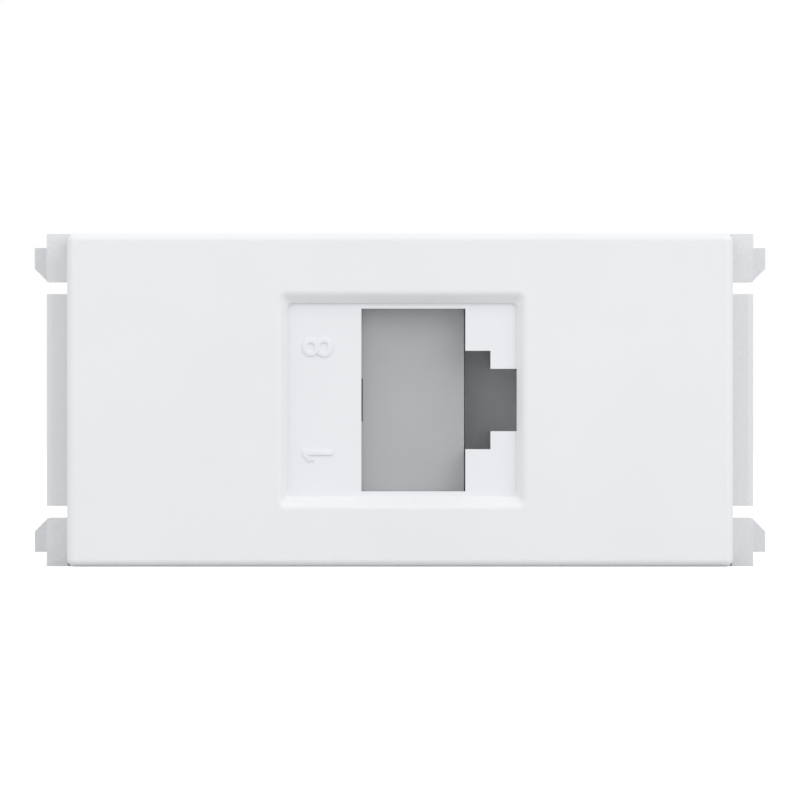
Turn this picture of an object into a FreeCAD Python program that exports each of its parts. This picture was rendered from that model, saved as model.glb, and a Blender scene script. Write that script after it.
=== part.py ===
import FreeCAD, Part
import math
import os

# A one-module snap-in faceplate for structured cabling, with a shuttered keystone jack in its port.
# Millimetres. X runs along the module, Z across it, and -Y faces the room. The origin is the
# module's centre on its seat plane, where the rear faces of the end ledges bear on the frame.

# ---- Module ----
module_length = 45.0
module_width = 22.5
face_rise = 3.0  # the cover's face stands this far ahead of the ledges
ledge_thickness = 1.6
plate_thickness = 1.8
skirt_wall = 1.4
skirt_depth = 5.6  # depth of the skirt behind the seat plane
skirt_step = 0.25  # the skirt steps in behind the seat plane, to pass between the rails
face_edge_radius = 0.5
corner_radius = 0.5
rib_thickness = 1.0
rib_depth = 2.8  # depth of the ribs behind the plate
rib_spread = 5.0  # distance of the ribs from the module's centre line

# ---- End ledges and snap lugs ----
ledge_overhang = 1.45
ledge_width = 14.36
ledge_edge_radius = 0.4
lug_gap = 0.85  # the slot between a ledge and the lug beside it
lug_overhang = 1.45
lug_thickness = 1.45
lug_flex_room = 1.3  # space inboard of a lug, into which it bends
lug_length = 6.2  # how far a lug reaches behind the seat plane
tooth_reach = 0.9
tooth_shoulder = 0.91  # distance from a lug's outer side to its tooth
tooth_flat = 2.5  # length of the tooth before its lead-in ramp
lug_gusset = 0.5  # slope that stiffens the root of a lug
rail_thickness = 1.5  # the support frame's rail that a ledge and a tooth hold between them
rail_clearance = 0.2

# ---- Port for the jack ----
port_offset = 0.15  # the port's centre along X
aperture_length = 16.5
aperture_width = 14.4
aperture_radius = 0.35
aperture_edge_radius = 0.6  # rounding between the cover's face and the bevel
bevel_length = 0.5  # slope of the aperture's bevel along X
bevel_width = 0.65  # and along Z
bevel_depth = 0.65
lip_land = 0.2
port_clearance = 0.1
port_wall = 1.4
port_depth = 9.9  # from the cover's face to the back of the port
catch_thickness = 1.5
catch_clearance = 0.1

# ---- Jack housing ----
jack_length = 16.3
jack_width = 14.3
housing_length = 16.7
housing_edge_radius = 0.4
opening_offset = -2.76  # the plug opening's contact side, from the port's centre
opening_height = 7.03  # along X
opening_width = 12.36  # along Z
latch_step_height = 1.7  # the wide step that the plug's latch passes
latch_step_width = 6.66
latch_slot_height = 1.78  # the narrow slot beyond it, for the latch's release tab
latch_slot_width = 4.22
latch_depth = 8.4  # from the jack's face to the ends of both
plug_depth = 15.0
face_skin = 1.4  # thickness of the face in front of the shutter
shutter_room = 0.3  # the cavity is this much wider than the opening, behind the face
hook_reach = 1.5
hook_thickness = 1.8
hook_width = 9.0
hook_room = 0.4
arm_thickness = 1.0
arm_gap = 0.9
arm_width = 7.0
arm_root = 1.3
arm_start = 2.4  # from the jack's face to the root of its latch arm
arm_length = 11.0
arm_tab = 1.2
tooth_height = 1.55
tooth_slope = 2.8
tooth_land = 0.5  # flat stretch behind the tooth's slope
arm_room = 0.6
pocket_side_room = 0.5
snap_arm_thickness = 0.8
snap_arm_width = 11.0
snap_arm_length = 4.6
snap_window_width = 4.4
snap_window_length = 1.5
snap_window_inset = 1.6
snap_clearance = 0.1
snap_nub_land = 0.3  # flat at the top of the nubs that hold the snap arms

# ---- Shutter ----
pin_radius = 0.3
pin_seat_clearance = 0.02
pin_inset = 0.18  # the pin's ends lie this far below the housing's sides
hinge_clearance = 0.05
barrel_radius = 0.75
barrel_room = 0.12
shutter_thickness = 0.8
shutter_seat_gap = 0.05
shutter_overlap = 0.15  # the flap laps behind the face at its two ends
shutter_edge_gap = 0.1
shutter_rest = 5.0  # the shut flap leans this many degrees inwards, against a slanted seat
pocket_room = 0.15
spring_wire = 0.18
spring_turns = 5
spring_pitch = 0.44
spring_bore_clearance = 0.06
spring_leg = 3.2
spring_fixed_leg = 1.7
spring_room = 0.35
spring_pad_half = 0.36  # half the width of the flap's pad under the spring's leg
spring_sides = 6  # the spring's wire is drawn with this many sides, to keep the coil light

# ---- Contacts and carrier ----
contact_count = 8
contact_pitch = 1.02
contact_width = 0.45
contact_thickness = 0.3
wire_depth = 2.8  # the contacts' lower legs lie this far outside the cavity's contact side
bend_radius = 0.8
bend_start = 10.4  # from the jack's face to the front of the bends
rise_angle = 30.0
free_end_lap = 0.55  # the contacts' free ends lie this far inside the comb's slots
wire_clearance = 0.06
carrier_clearance = 0.05
carrier_side = 1.5  # the carrier reaches this far beyond the outer contacts
comb_thickness = 0.85
comb_margin = 0.5  # the comb reaches this far past the contacts' free ends
carrier_heel = 1.4

# ---- Circuit board ----
board_thickness = 1.2
board_length = 14.8
board_inset = 0.85  # the board and the block are this much narrower than the jack on each side
tail_proud = 0.5  # the soldered tails stand this far out of the board
tail_relief = 0.8
hole_clearance = 0.08

# ---- Termination block ----
row_offset = 3.9
tower_count = 4
tower_pitch = 3.0
tower_width = 2.6
tower_length = 4.6
tower_height = 7.6
tower_tip_width = 1.2  # slope at the top of a tower, across it
tower_tip_height = 1.8  # and along it
block_length = 15.6
block_base = 4.5
wire_slot_width = 0.9
wire_slot_floor = 2.0
wire_slot_flare = 0.32  # the slot's mouth is this much wider on each side
blade_thickness = 0.5
blade_width = 1.7
blade_height = 8.4
blade_foot = 1.9  # from the board to the foot of a blade
blade_slot = 0.32
blade_slot_length = 4.8
blade_mouth = 1.2
blade_tail = 0.6
blade_clearance = 0.05

# ---- Wire caps ----
cap_wall = 0.45
cap_top = 0.7
cap_clearance = 0.1
cap_height = 5.0
cap_notch_width = 1.3
cap_notch_height = 2.4
cap_rib_clearance = 0.1
cap_blade_clearance = 0.4
cap_edge_radius = 0.5
cap_chamfer = 0.3
cap_scoop_depth = 0.3  # hollow for the thumb that presses the cap on
cap_scoop_length = 8.4

# ---- Derived places ----
face_y = -(ledge_thickness + face_rise)
plate_rear = face_y + plate_thickness
port_rear = face_y + port_depth
catch_front = port_rear - catch_thickness
lip_thickness = bevel_depth + lip_land
jack_face = face_y + lip_thickness
housing_rear = jack_face + housing_length
half_length = module_length / 2
half_width = module_width / 2
lug_inner = ledge_width / 2 + lug_gap
lug_outer_x = half_length + lug_overhang
lug_inner_x = lug_outer_x - lug_thickness
bore_half_length = jack_length / 2 + port_clearance
bore_half_width = jack_width / 2 + port_clearance
hook_pocket = hook_reach + hook_room
arm_outer = jack_length / 2 + arm_gap + arm_thickness
tooth_outer = arm_outer + tooth_height
catch_inner_latch = arm_outer + arm_room
latch_pocket = tooth_outer + arm_room
opening_low = port_offset + opening_offset
opening_high = opening_low + opening_height
cavity_half_width = opening_width / 2 + shutter_room
cavity_rear = jack_face + plug_depth
shutter_front = jack_face + face_skin + shutter_seat_gap
hinge_y = shutter_front + barrel_radius
hinge_x = opening_low - barrel_radius - shutter_edge_gap
shutter_half_width = opening_width / 2 + shutter_overlap
shutter_tip = opening_high - shutter_edge_gap
shutter_reach = shutter_tip - hinge_x
spring_radius = pin_radius + spring_bore_clearance + spring_wire / 2
spring_half_length = spring_turns * spring_pitch / 2
spring_gap_half = spring_half_length + spring_room
contact_half = contact_thickness / 2
wire_x = opening_low - wire_depth
bend_centre_x = wire_x + bend_radius
bend_centre_y = jack_face + bend_start + bend_radius
rise_slope = math.tan(math.radians(rise_angle))
rise_start_x = bend_centre_x + bend_radius * math.cos(math.radians(rise_angle))
rise_start_y = bend_centre_y - bend_radius * math.sin(math.radians(rise_angle))
comb_front = cavity_rear + carrier_clearance
comb_rear = comb_front + comb_thickness
free_end_y = comb_front + free_end_lap
free_end_x = rise_start_x + (free_end_y - rise_start_y) * rise_slope
comb_high_x = free_end_x + contact_half + comb_margin
contact_span = (contact_count - 1) * contact_pitch / 2
carrier_half_width = contact_span + carrier_side
board_front = housing_rear
board_rear = board_front + board_thickness
tower_base = board_rear + block_base
tower_top = tower_base + tower_height
blade_bottom = board_rear + blade_foot
blade_top = blade_bottom + blade_height
tower_span = (tower_count - 1) * tower_pitch / 2
block_half_width = jack_width / 2 - board_inset
snap_inner = block_half_width + snap_clearance
cap_ceiling = tower_top + cap_clearance
cap_outer_y = cap_ceiling + cap_top
through = 1.0  # cutters run past a face by this much
embed = 0.1  # what grows from a body starts this far inside it
tolerance = 0.01  # for picking edges by their place


# ---- Helpers ----
def point(x, y, z):
    return FreeCAD.Vector(x, y, z)


def box(x, y, z):
    """A block between a low and a high value on each axis."""
    return Part.makeBox(x[1] - x[0], y[1] - y[0], z[1] - z[0], point(x[0], y[0], z[0]))


def around(centre, half):
    return (centre - half, centre + half)


def polygon_face(corners):
    return Part.Face(Part.makePolygon(corners + corners[:1]))


def prism_y(outline, y):
    """An outline of (x, z) corners, extruded along Y."""
    corners = [point(x, y[0], z) for x, z in outline]
    return polygon_face(corners).extrude(point(0, y[1] - y[0], 0))


def prism_z(outline, z):
    """An outline of (x, y) corners, extruded along Z."""
    corners = [point(x, y, z[0]) for x, y in outline]
    return polygon_face(corners).extrude(point(0, 0, z[1] - z[0]))


def prism_x(outline, x):
    """An outline of (z, y) corners, extruded along X."""
    corners = [point(x[0], y, z) for z, y in outline]
    return polygon_face(corners).extrude(point(x[1] - x[0], 0, 0))


def rod_z(x, y, radius, z):
    return Part.makeCylinder(radius, z[1] - z[0], point(x, y, z[0]), point(0, 0, 1))


def rod_y(x, z, radius, y):
    return Part.makeCylinder(radius, y[1] - y[0], point(x, y[0], z), point(0, 1, 0))


def rounded_loop(centre_x, y, half_x, half_z, radius):
    """A closed wire, parallel to the face: a rectangle with rounded corners."""
    edges = []
    turn = radius * math.sqrt(0.5)
    corners = [(1, 1), (-1, 1), (-1, -1), (1, -1)]
    ends = []
    for sx, sz in corners:
        cx = centre_x + sx * (half_x - radius)
        cz = sz * (half_z - radius)
        along_x = point(cx + sx * radius, y, cz)
        along_z = point(cx, y, cz + sz * radius)
        middle = point(cx + sx * turn, y, cz + sz * turn)
        order = (along_x, along_z) if sx * sz > 0 else (along_z, along_x)
        ends.append(order)
        edges.append(Part.Arc(order[0], middle, order[1]).toShape())
    for index in range(4):
        start = ends[index][1]
        stop = ends[(index + 1) % 4][0]
        edges.append(Part.makeLine(start, stop))
    return Part.Wire(Part.__sortEdges__(edges))


def rounded_edges(shape, radius, chosen):
    """Round the edges of a shape that the given test picks."""
    return shape.makeFillet(radius, [edge for edge in shape.Edges if chosen(edge.BoundBox)])


def runs_along_y(bound):
    return bound.YLength > bound.XLength + bound.ZLength


def rims_aperture(bound):
    """True for the edges where the aperture's bevel meets the cover's face."""
    on_face = bound.YMax < face_y + tolerance
    return on_face and max(abs(bound.XMin), abs(bound.XMax)) < aperture_length


# ---- Faceplate ----
def cover():
    """The rounded cover and its skirt, hollow from behind."""
    shell = box(around(0, half_length), (face_y, 0), around(0, half_width))
    shell = rounded_edges(shell, corner_radius, runs_along_y)
    shell = rounded_edges(shell, face_edge_radius, lambda bound: bound.YMax < face_y + tolerance)
    skirt_x = half_length - skirt_step
    skirt_z = half_width - skirt_step
    shell = shell.fuse(box(around(0, skirt_x), (-through, skirt_depth), around(0, skirt_z)))
    hollow = box(
        around(0, skirt_x - skirt_wall),
        (plate_rear, skirt_depth + through),
        around(0, skirt_z - skirt_wall),
    )
    return shell.cut(hollow)


def ledge(side):
    """One end ledge; its rear face bears on the support frame's rail."""
    near = half_length - skirt_step
    far = half_length + ledge_overhang
    block = box((near, far), (-ledge_thickness, 0), around(0, ledge_width / 2))
    block = rounded_edges(
        block,
        ledge_edge_radius,
        lambda bound: bound.XMin > far - tolerance and bound.YMax < tolerance - ledge_thickness,
    )
    return block if side > 0 else block.mirror(point(0, 0, 0), point(1, 0, 0))


def lug():
    """The snap lug of the +X +Z corner: a finger with an outward tooth."""
    across = (lug_inner, half_width)
    finger = box((lug_inner_x, lug_outer_x), (-ledge_thickness, lug_length), across)
    gusset = prism_z(
        [
            (lug_inner_x - lug_gusset, -embed),
            (lug_inner_x - lug_gusset, 0),
            (lug_inner_x, lug_gusset),
            (lug_inner_x + embed, lug_gusset),
            (lug_inner_x + embed, -embed),
        ],
        across,
    )
    tip = lug_outer_x + tooth_reach
    tooth_front = rail_thickness + rail_clearance
    tooth = prism_y(
        [
            (lug_outer_x - embed, half_width - tooth_shoulder),
            (tip, half_width - tooth_shoulder),
            (tip, lug_inner + tooth_reach),
            (lug_outer_x, lug_inner),
            (lug_outer_x - embed, lug_inner),
        ],
        (tooth_front, lug_length),
    )
    ramp = prism_z(
        [
            (tip, tooth_front + tooth_flat),
            (tip + through, tooth_front + tooth_flat),
            (tip + through, lug_length + through),
            (lug_outer_x, lug_length + through),
            (lug_outer_x, lug_length),
        ],
        (lug_inner - through, half_width + through),
    )
    return finger.fuse([tooth.cut(ramp), gusset])


def lug_clearance():
    """The space that is cut from the skirt's corner so that the lug can bend."""
    return box(
        (lug_inner_x - lug_flex_room, half_length + through),
        (0, skirt_depth + through),
        (lug_inner - lug_gap, half_width + through),
    )


def at_four_corners(shape):
    """The given +X +Z corner piece and its three mirror images."""
    origin = point(0, 0, 0)
    pair = [shape, shape.mirror(origin, point(1, 0, 0))]
    return pair + [piece.mirror(origin, point(0, 0, 1)) for piece in pair]


def port_collar():
    """The walls behind the aperture that the jack clips into."""
    return box(
        (
            port_offset - latch_pocket - port_wall,
            port_offset + bore_half_length + hook_pocket + port_wall,
        ),
        (plate_rear - embed, port_rear),
        around(0, bore_half_width + port_wall),
    )


def port_cutters():
    """The bore for the jack, its two catch pockets and the bevelled aperture."""
    bore = box(
        around(port_offset, bore_half_length),
        (face_y + lip_thickness, port_rear + through),
        around(0, bore_half_width),
    )
    hook_side = box(
        (port_offset, port_offset + bore_half_length + hook_pocket),
        (plate_rear, catch_front),
        around(0, hook_width / 2 + pocket_side_room),
    )
    latch_side = box(
        (port_offset - latch_pocket, port_offset),
        (plate_rear, catch_front),
        around(0, arm_width / 2 + pocket_side_room),
    )
    latch_exit = box(
        (port_offset - catch_inner_latch, port_offset),
        (plate_rear, port_rear + through),
        around(0, arm_width / 2 + pocket_side_room),
    )
    ahead = 0.2  # the bevel's cutter starts this far ahead of the face
    outer = rounded_loop(
        port_offset,
        face_y - ahead,
        aperture_length / 2 + ahead * bevel_length / bevel_depth,
        aperture_width / 2 + ahead * bevel_width / bevel_depth,
        aperture_radius,
    )
    inner = rounded_loop(
        port_offset,
        face_y + bevel_depth,
        aperture_length / 2 - bevel_length,
        aperture_width / 2 - bevel_width,
        aperture_radius,
    )
    bevel = Part.makeLoft([outer, inner], True, True)
    land = Part.Face(inner).extrude(point(0, lip_land + through, 0))
    return [bore, hook_side, latch_side, latch_exit, bevel, land]


def ribs():
    """Stiffening ribs from the port's walls to the skirt."""
    pieces = []
    skirt_x = half_length - skirt_step - skirt_wall / 2
    skirt_z = half_width - skirt_step - skirt_wall / 2
    depth = (plate_rear - embed, plate_rear + rib_depth)
    ends = (
        (-skirt_x, port_offset - latch_pocket - port_wall / 2),
        (port_offset + bore_half_length + hook_pocket + port_wall / 2, skirt_x),
    )
    for z in (-rib_spread, rib_spread):
        for span in ends:
            pieces.append(box(span, depth, around(z, rib_thickness / 2)))
    for x in (port_offset - rib_spread, port_offset + rib_spread):
        for side in (-1, 1):
            span = sorted((side * (bore_half_width + port_wall / 2), side * skirt_z))
            pieces.append(box(around(x, rib_thickness / 2), depth, span))
    return pieces


def faceplate():
    body = cover().cut(at_four_corners(lug_clearance()))
    body = body.fuse([ledge(-1), ledge(1), port_collar()] + ribs() + at_four_corners(lug()))
    body = body.cut(port_cutters()).removeSplitter()
    return rounded_edges(body, aperture_edge_radius, rims_aperture)


# ---- Jack housing ----
def latch_arm():
    """The spring arm on the contact side, with the tooth that snaps ahead of the port's catch."""
    wall = port_offset - jack_length / 2
    inner = wall - arm_gap
    outer = port_offset - arm_outer
    tip = port_offset - tooth_outer
    root = jack_face + arm_start
    tooth_rear = catch_front - catch_clearance
    end = root + arm_length
    return prism_z(
        [
            (wall + embed, root),
            (outer + arm_thickness / 2, root),
            (outer, root + arm_thickness / 2),
            (outer, tooth_rear - tooth_slope),
            (tip, tooth_rear - tooth_land),
            (tip, tooth_rear),
            (outer, tooth_rear),
            (outer, end - arm_tab),
            (outer - arm_tab, end),
            (inner, end),
            (inner, root + arm_root),
            (wall + embed, root + arm_root),
        ],
        around(0, arm_width / 2),
    )


def fixed_hook():
    """The rigid hook opposite the latch arm."""
    wall = port_offset + jack_length / 2
    rear = catch_front - catch_clearance
    front = rear - hook_thickness
    return prism_z(
        [
            (wall - embed, front),
            (wall + hook_reach / 2, front),
            (wall + hook_reach, front + hook_reach / 2),
            (wall + hook_reach, rear),
            (wall - embed, rear),
        ],
        around(0, hook_width / 2),
    )


def plug_cavity():
    """The stepped opening, and the wider cavity behind it, whose front is the shutter's seat."""
    step_high = opening_high + latch_step_height
    slot_high = step_high + latch_slot_height
    mouth = box(
        (opening_low, opening_high),
        (jack_face - through, cavity_rear),
        around(0, opening_width / 2),
    )
    lean = math.radians(shutter_rest)
    seat_y = hinge_y - (barrel_radius + shutter_seat_gap) / math.cos(lean)
    cavity = prism_z(
        [
            (opening_low, seat_y + (opening_low - hinge_x) * math.tan(lean)),
            (opening_high, seat_y + (opening_high - hinge_x) * math.tan(lean)),
            (opening_high, cavity_rear),
            (opening_low, cavity_rear),
        ],
        around(0, cavity_half_width),
    )
    step = box(
        (opening_high - embed, step_high),
        (jack_face - through, jack_face + latch_depth),
        around(0, latch_step_width / 2),
    )
    slot = box(
        (step_high - embed, slot_high),
        (jack_face - through, jack_face + latch_depth),
        around(0, latch_slot_width / 2),
    )
    return [mouth, cavity, step, slot]


def shutter_pocket():
    """Room in the contact-side wall for the hinge, the open flap and the spring's two legs."""
    swept = shutter_reach + pocket_room
    barrel = box(
        (hinge_x - barrel_radius - barrel_room, opening_low + embed),
        (jack_face + face_skin, hinge_y + barrel_radius + barrel_room),
        around(0, cavity_half_width),
    )
    flap_rear_x = hinge_x + barrel_radius - shutter_thickness
    leaf = box(
        (flap_rear_x - pocket_room, opening_low + embed),
        (jack_face + face_skin, hinge_y + swept),
        around(0, cavity_half_width),
    )
    slot_half = spring_wire / 2 + wire_clearance
    slot = box(
        (hinge_x - spring_fixed_leg - wire_clearance, hinge_x),
        around(hinge_y + spring_radius, slot_half),
        around(spring_half_length, slot_half),
    )
    groove = box(
        (hinge_x - spring_radius - spring_wire / 2 - barrel_room, hinge_x),
        (hinge_y, hinge_y + spring_leg + pocket_room),
        around(-spring_half_length, spring_pad_half + pocket_room),
    )
    return [barrel, leaf, slot, groove]


def carrier_pocket():
    half = carrier_half_width + carrier_clearance
    bends = box(
        (wire_x - carrier_heel - carrier_clearance, opening_low + embed),
        (jack_face + bend_start - contact_half - pocket_room, housing_rear + through),
        around(0, half),
    )
    comb = box(
        (
            wire_x - carrier_heel - carrier_clearance,
            comb_high_x + carrier_clearance,
        ),
        (cavity_rear - embed, housing_rear + through),
        around(0, half),
    )
    return [bends, comb]


def jack_housing():
    body = box(
        around(port_offset, jack_length / 2),
        (jack_face, housing_rear),
        around(0, jack_width / 2),
    )
    body = rounded_edges(body, housing_edge_radius, runs_along_y)
    snap_end = housing_rear + snap_arm_length
    arms = []
    windows = []
    for side in (-1, 1):
        z_span = sorted((side * snap_inner, side * (snap_inner + snap_arm_thickness)))
        arms.append(
            box(around(port_offset, snap_arm_width / 2), (housing_rear - embed, snap_end), z_span)
        )
        windows.append(
            box(
                around(port_offset, snap_window_width / 2),
                (snap_end - snap_window_inset - snap_window_length, snap_end - snap_window_inset),
                sorted((side * (snap_inner - through), side * (snap_inner + through * 2))),
            )
        )
    body = body.fuse([latch_arm(), fixed_hook()] + arms)
    tails = box(
        around(port_offset + row_offset, tail_relief),
        (housing_rear - tail_relief, housing_rear + through),
        around(0, tower_span + tail_relief),
    )
    seat = rod_z(
        hinge_x, hinge_y, pin_radius + pin_seat_clearance, around(0, jack_width / 2 + through)
    )
    cutters = [tails, seat] + plug_cavity() + shutter_pocket() + carrier_pocket() + windows
    return body.cut(cutters).removeSplitter()


# ---- Shutter ----
def shutter_flap():
    """The flap with its two hinge barrels; the spring's coil lies between them."""
    plate = box(
        (hinge_x, shutter_tip),
        (shutter_front, shutter_front + shutter_thickness),
        around(0, shutter_half_width),
    )
    barrel = rod_z(hinge_x, hinge_y, barrel_radius, around(0, shutter_half_width))
    flap = plate.fuse(barrel)
    bore = rod_z(
        hinge_x, hinge_y, pin_radius + hinge_clearance, around(0, shutter_half_width + through)
    )
    coil_gap = box(
        (hinge_x - barrel_radius - through, opening_low),
        (shutter_front - through, hinge_y + barrel_radius + through),
        around(0, spring_gap_half),
    )
    flap = flap.cut([bore, coil_gap])
    leg_y = hinge_y + spring_radius
    pad = box(
        (opening_low + spring_wire, hinge_x + spring_leg),
        (shutter_front + shutter_thickness / 2, leg_y - spring_wire / 2 - wire_clearance),
        around(-spring_half_length, spring_pad_half),
    )
    flap = flap.fuse(pad).removeSplitter()
    flap.rotate(point(hinge_x, hinge_y, 0), point(0, 0, 1), shutter_rest)
    return flap


def shutter_pin():
    return rod_z(hinge_x, hinge_y, pin_radius, around(0, jack_width / 2 - pin_inset))


def shutter_spring():
    """A torsion spring: a coil round the pin, one leg on the flap and one in the housing's slot."""
    height = spring_pitch * (spring_turns - shutter_rest / 360)
    coil = Part.makeHelix(spring_pitch, height, spring_radius)
    coil.rotate(point(0, 0, 0), point(0, 0, 1), 90 + shutter_rest)
    coil.translate(point(hinge_x, hinge_y, spring_half_length - height))
    lean = math.radians(shutter_rest)
    along = point(math.cos(lean), math.sin(lean), 0)
    outward = point(-math.sin(lean), math.cos(lean), 0)
    low = point(hinge_x, hinge_y, spring_half_length - height) + outward * spring_radius
    high = point(hinge_x, hinge_y + spring_radius, spring_half_length)
    flap_end = low + along * spring_leg
    fixed_end = high - point(spring_fixed_leg, 0, 0)
    path = Part.Wire([Part.makeLine(flap_end, low)] + coil.Edges + [Part.makeLine(high, fixed_end)])
    corners = []
    for side in range(spring_sides):
        turn = 2 * math.pi * side / spring_sides
        spoke = outward * math.cos(turn) + point(0, 0, math.sin(turn))
        corners.append(flap_end + spoke * (spring_wire / 2))
    section = Part.makePolygon(corners + corners[:1])
    return path.makePipeShell([section], True, True)


# ---- Contacts ----
def contact_centres():
    return [(index * contact_pitch) - contact_span for index in range(contact_count)]


def contact_side(offset):
    """One side of a contact's strip, this far outside its centre line: leg, bend and rising leg."""
    radius = bend_radius + offset
    leg_end, middle, rise_start = [
        point(
            bend_centre_x + radius * math.cos(math.radians(turn)),
            bend_centre_y + radius * math.sin(math.radians(turn)),
            0,
        )
        for turn in (180, 270 - rise_angle / 2, 360 - rise_angle)
    ]
    leg_start = point(leg_end.x, board_rear + tail_proud, 0)
    rise_end = rise_start + point(free_end_x - rise_start_x, free_end_y - rise_start_y, 0)
    edges = [
        Part.makeLine(leg_start, leg_end),
        Part.Arc(leg_end, middle, rise_start).toShape(),
        Part.makeLine(rise_start, rise_end),
    ]
    return edges, leg_start, rise_end


def contact_wire(z):
    """A flat spring contact: a straight leg from the board, a bend, and a leg into the cavity."""
    outer, outer_start, outer_end = contact_side(contact_half)
    inner, inner_start, inner_end = contact_side(-contact_half)
    ends = [Part.makeLine(outer_start, inner_start), Part.makeLine(outer_end, inner_end)]
    outline = Part.Wire(Part.__sortEdges__(outer + inner + ends))
    strip = Part.Face(outline).extrude(point(0, 0, contact_width))
    strip.translate(point(0, 0, z - contact_width / 2))
    return strip


def contact_carrier():
    """The insert that spaces the contacts: a tongue inside their bends, a comb for their ends."""
    inner_radius = bend_radius - contact_half - wire_clearance
    half = carrier_half_width
    nose = rod_z(bend_centre_x, bend_centre_y, inner_radius, around(0, half))
    tongue = box(
        around(bend_centre_x, inner_radius), (bend_centre_y, comb_front + embed), around(0, half)
    )
    comb = box((wire_x - carrier_heel, comb_high_x), (comb_front, comb_rear), around(0, half))
    body = comb.fuse([tongue, nose])
    cutters = []
    depth = (comb_front - through, comb_rear + through)
    slant_half = contact_half / math.cos(math.radians(rise_angle)) + wire_clearance
    low_x = rise_start_x + (comb_front - rise_start_y) * rise_slope - slant_half
    for z in contact_centres():
        slot = around(z, contact_width / 2 + wire_clearance)
        cutters.append(box(around(wire_x, contact_half + wire_clearance), depth, slot))
        cutters.append(box((low_x, comb_high_x + through), depth, slot))
    return body.cut(cutters).removeSplitter()


# ---- Circuit board ----
def tower_centres():
    return [(index * tower_pitch) - tower_span for index in range(tower_count)]


def circuit_board():
    board = box(
        around(port_offset, board_length / 2),
        (board_front, board_rear),
        around(0, block_half_width),
    )
    ends = (board_front - through, board_rear + through)
    leg_radius = math.hypot(contact_width, contact_thickness) / 2 + hole_clearance
    holes = [rod_y(wire_x, z, leg_radius, ends) for z in contact_centres()]
    tail_radius = math.hypot(blade_tail, blade_thickness) / 2 + hole_clearance
    for side in (-1, 1):
        for z in tower_centres():
            holes.append(rod_y(port_offset + side * row_offset, z, tail_radius, ends))
    return board.cut(holes)


# ---- Termination block ----
def tower(x, z):
    """One post of the block, before its tip is tapered and its slot is cut."""
    height = (tower_base - embed, tower_top)
    return box(around(x, tower_length / 2), height, around(z, tower_width / 2))


def tower_tip_cutters(x):
    """Slopes on both long sides of a row, which lead the wires in."""
    cutters = []
    for side in (-1, 1):
        edge = x + side * tower_length / 2
        cutters.append(
            prism_z(
                [
                    (edge - side * tower_tip_width, tower_top),
                    (edge, tower_top - tower_tip_height),
                    (edge + side * through, tower_top - tower_tip_height),
                    (edge + side * through, tower_top + through),
                    (edge - side * tower_tip_width, tower_top + through),
                ],
                around(0, block_half_width + through),
            )
        )
    return cutters


def wire_slot(x, z):
    """The slot across a tower, with a flared mouth."""
    half = wire_slot_width / 2
    mouth = half + wire_slot_flare
    floor = tower_base + wire_slot_floor
    return prism_x(
        [
            (z - half, floor),
            (z - half, tower_top - wire_slot_width),
            (z - mouth, tower_top),
            (z - mouth, tower_top + through),
            (z + mouth, tower_top + through),
            (z + mouth, tower_top),
            (z + half, tower_top - wire_slot_width),
            (z + half, floor),
        ],
        around(x, tower_length / 2 + through),
    )


def blade_slit(x, z):
    """The slit that a punch-down blade is pressed into, and the hole for its tail."""
    slit = box(
        around(x, blade_thickness / 2 + blade_clearance),
        (blade_bottom - blade_clearance, tower_top + through),
        around(z, blade_width / 2 + blade_clearance),
    )
    tail = box(
        around(x, blade_thickness / 2 + blade_clearance),
        (board_rear - through, blade_bottom + through),
        around(z, blade_tail / 2 + blade_clearance),
    )
    return [slit, tail]


def idc_block():
    body = box(
        around(port_offset, block_length / 2),
        (board_rear, tower_base),
        around(0, block_half_width),
    )
    body = rounded_edges(body, housing_edge_radius, runs_along_y)
    nubs = []
    window_rear = housing_rear + snap_arm_length - snap_window_inset - snap_clearance
    window_front = window_rear - snap_window_length + 2 * snap_clearance
    for side in (-1, 1):
        base = side * (block_half_width - embed)
        tip = side * (block_half_width + snap_arm_thickness)
        nubs.append(
            prism_x(
                [
                    (base, window_front),
                    (side * block_half_width, window_front),
                    (tip, window_rear - snap_nub_land),
                    (tip, window_rear),
                    (base, window_rear),
                ],
                around(port_offset, snap_window_width / 2 - snap_clearance),
            )
        )
    posts = []
    cutters = []
    for side in (-1, 1):
        x = port_offset + side * row_offset
        for z in tower_centres():
            posts.append(tower(x, z))
            cutters.append(wire_slot(x, z))
            cutters += blade_slit(x, z)
        cutters += tower_tip_cutters(x)
    relief = box(
        around(wire_x, contact_width),
        (board_rear - through, board_rear + tail_relief),
        around(0, contact_span + contact_width),
    )
    body = body.fuse(nubs + posts)
    return body.cut(cutters + [relief]).removeSplitter()


def idc_contact(x, z):
    """A forked plate: two tines that cut into a wire, and a tail soldered in the board."""
    half = blade_width / 2
    slot = blade_slot / 2
    tail = blade_tail / 2
    floor = blade_top - blade_slot_length
    mouth = half - blade_slot
    outline = [
        (z - tail, board_front - tail_proud),
        (z - tail, blade_bottom),
        (z - half, blade_bottom),
        (z - half, blade_top - blade_slot),
        (z - mouth, blade_top),
        (z - slot, blade_top - blade_mouth),
        (z - slot, floor),
        (z + slot, floor),
        (z + slot, blade_top - blade_mouth),
        (z + mouth, blade_top),
        (z + half, blade_top - blade_slot),
        (z + half, blade_bottom),
        (z + tail, blade_bottom),
        (z + tail, board_front - tail_proud),
    ]
    return prism_x(outline, around(x, blade_thickness / 2))


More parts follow.
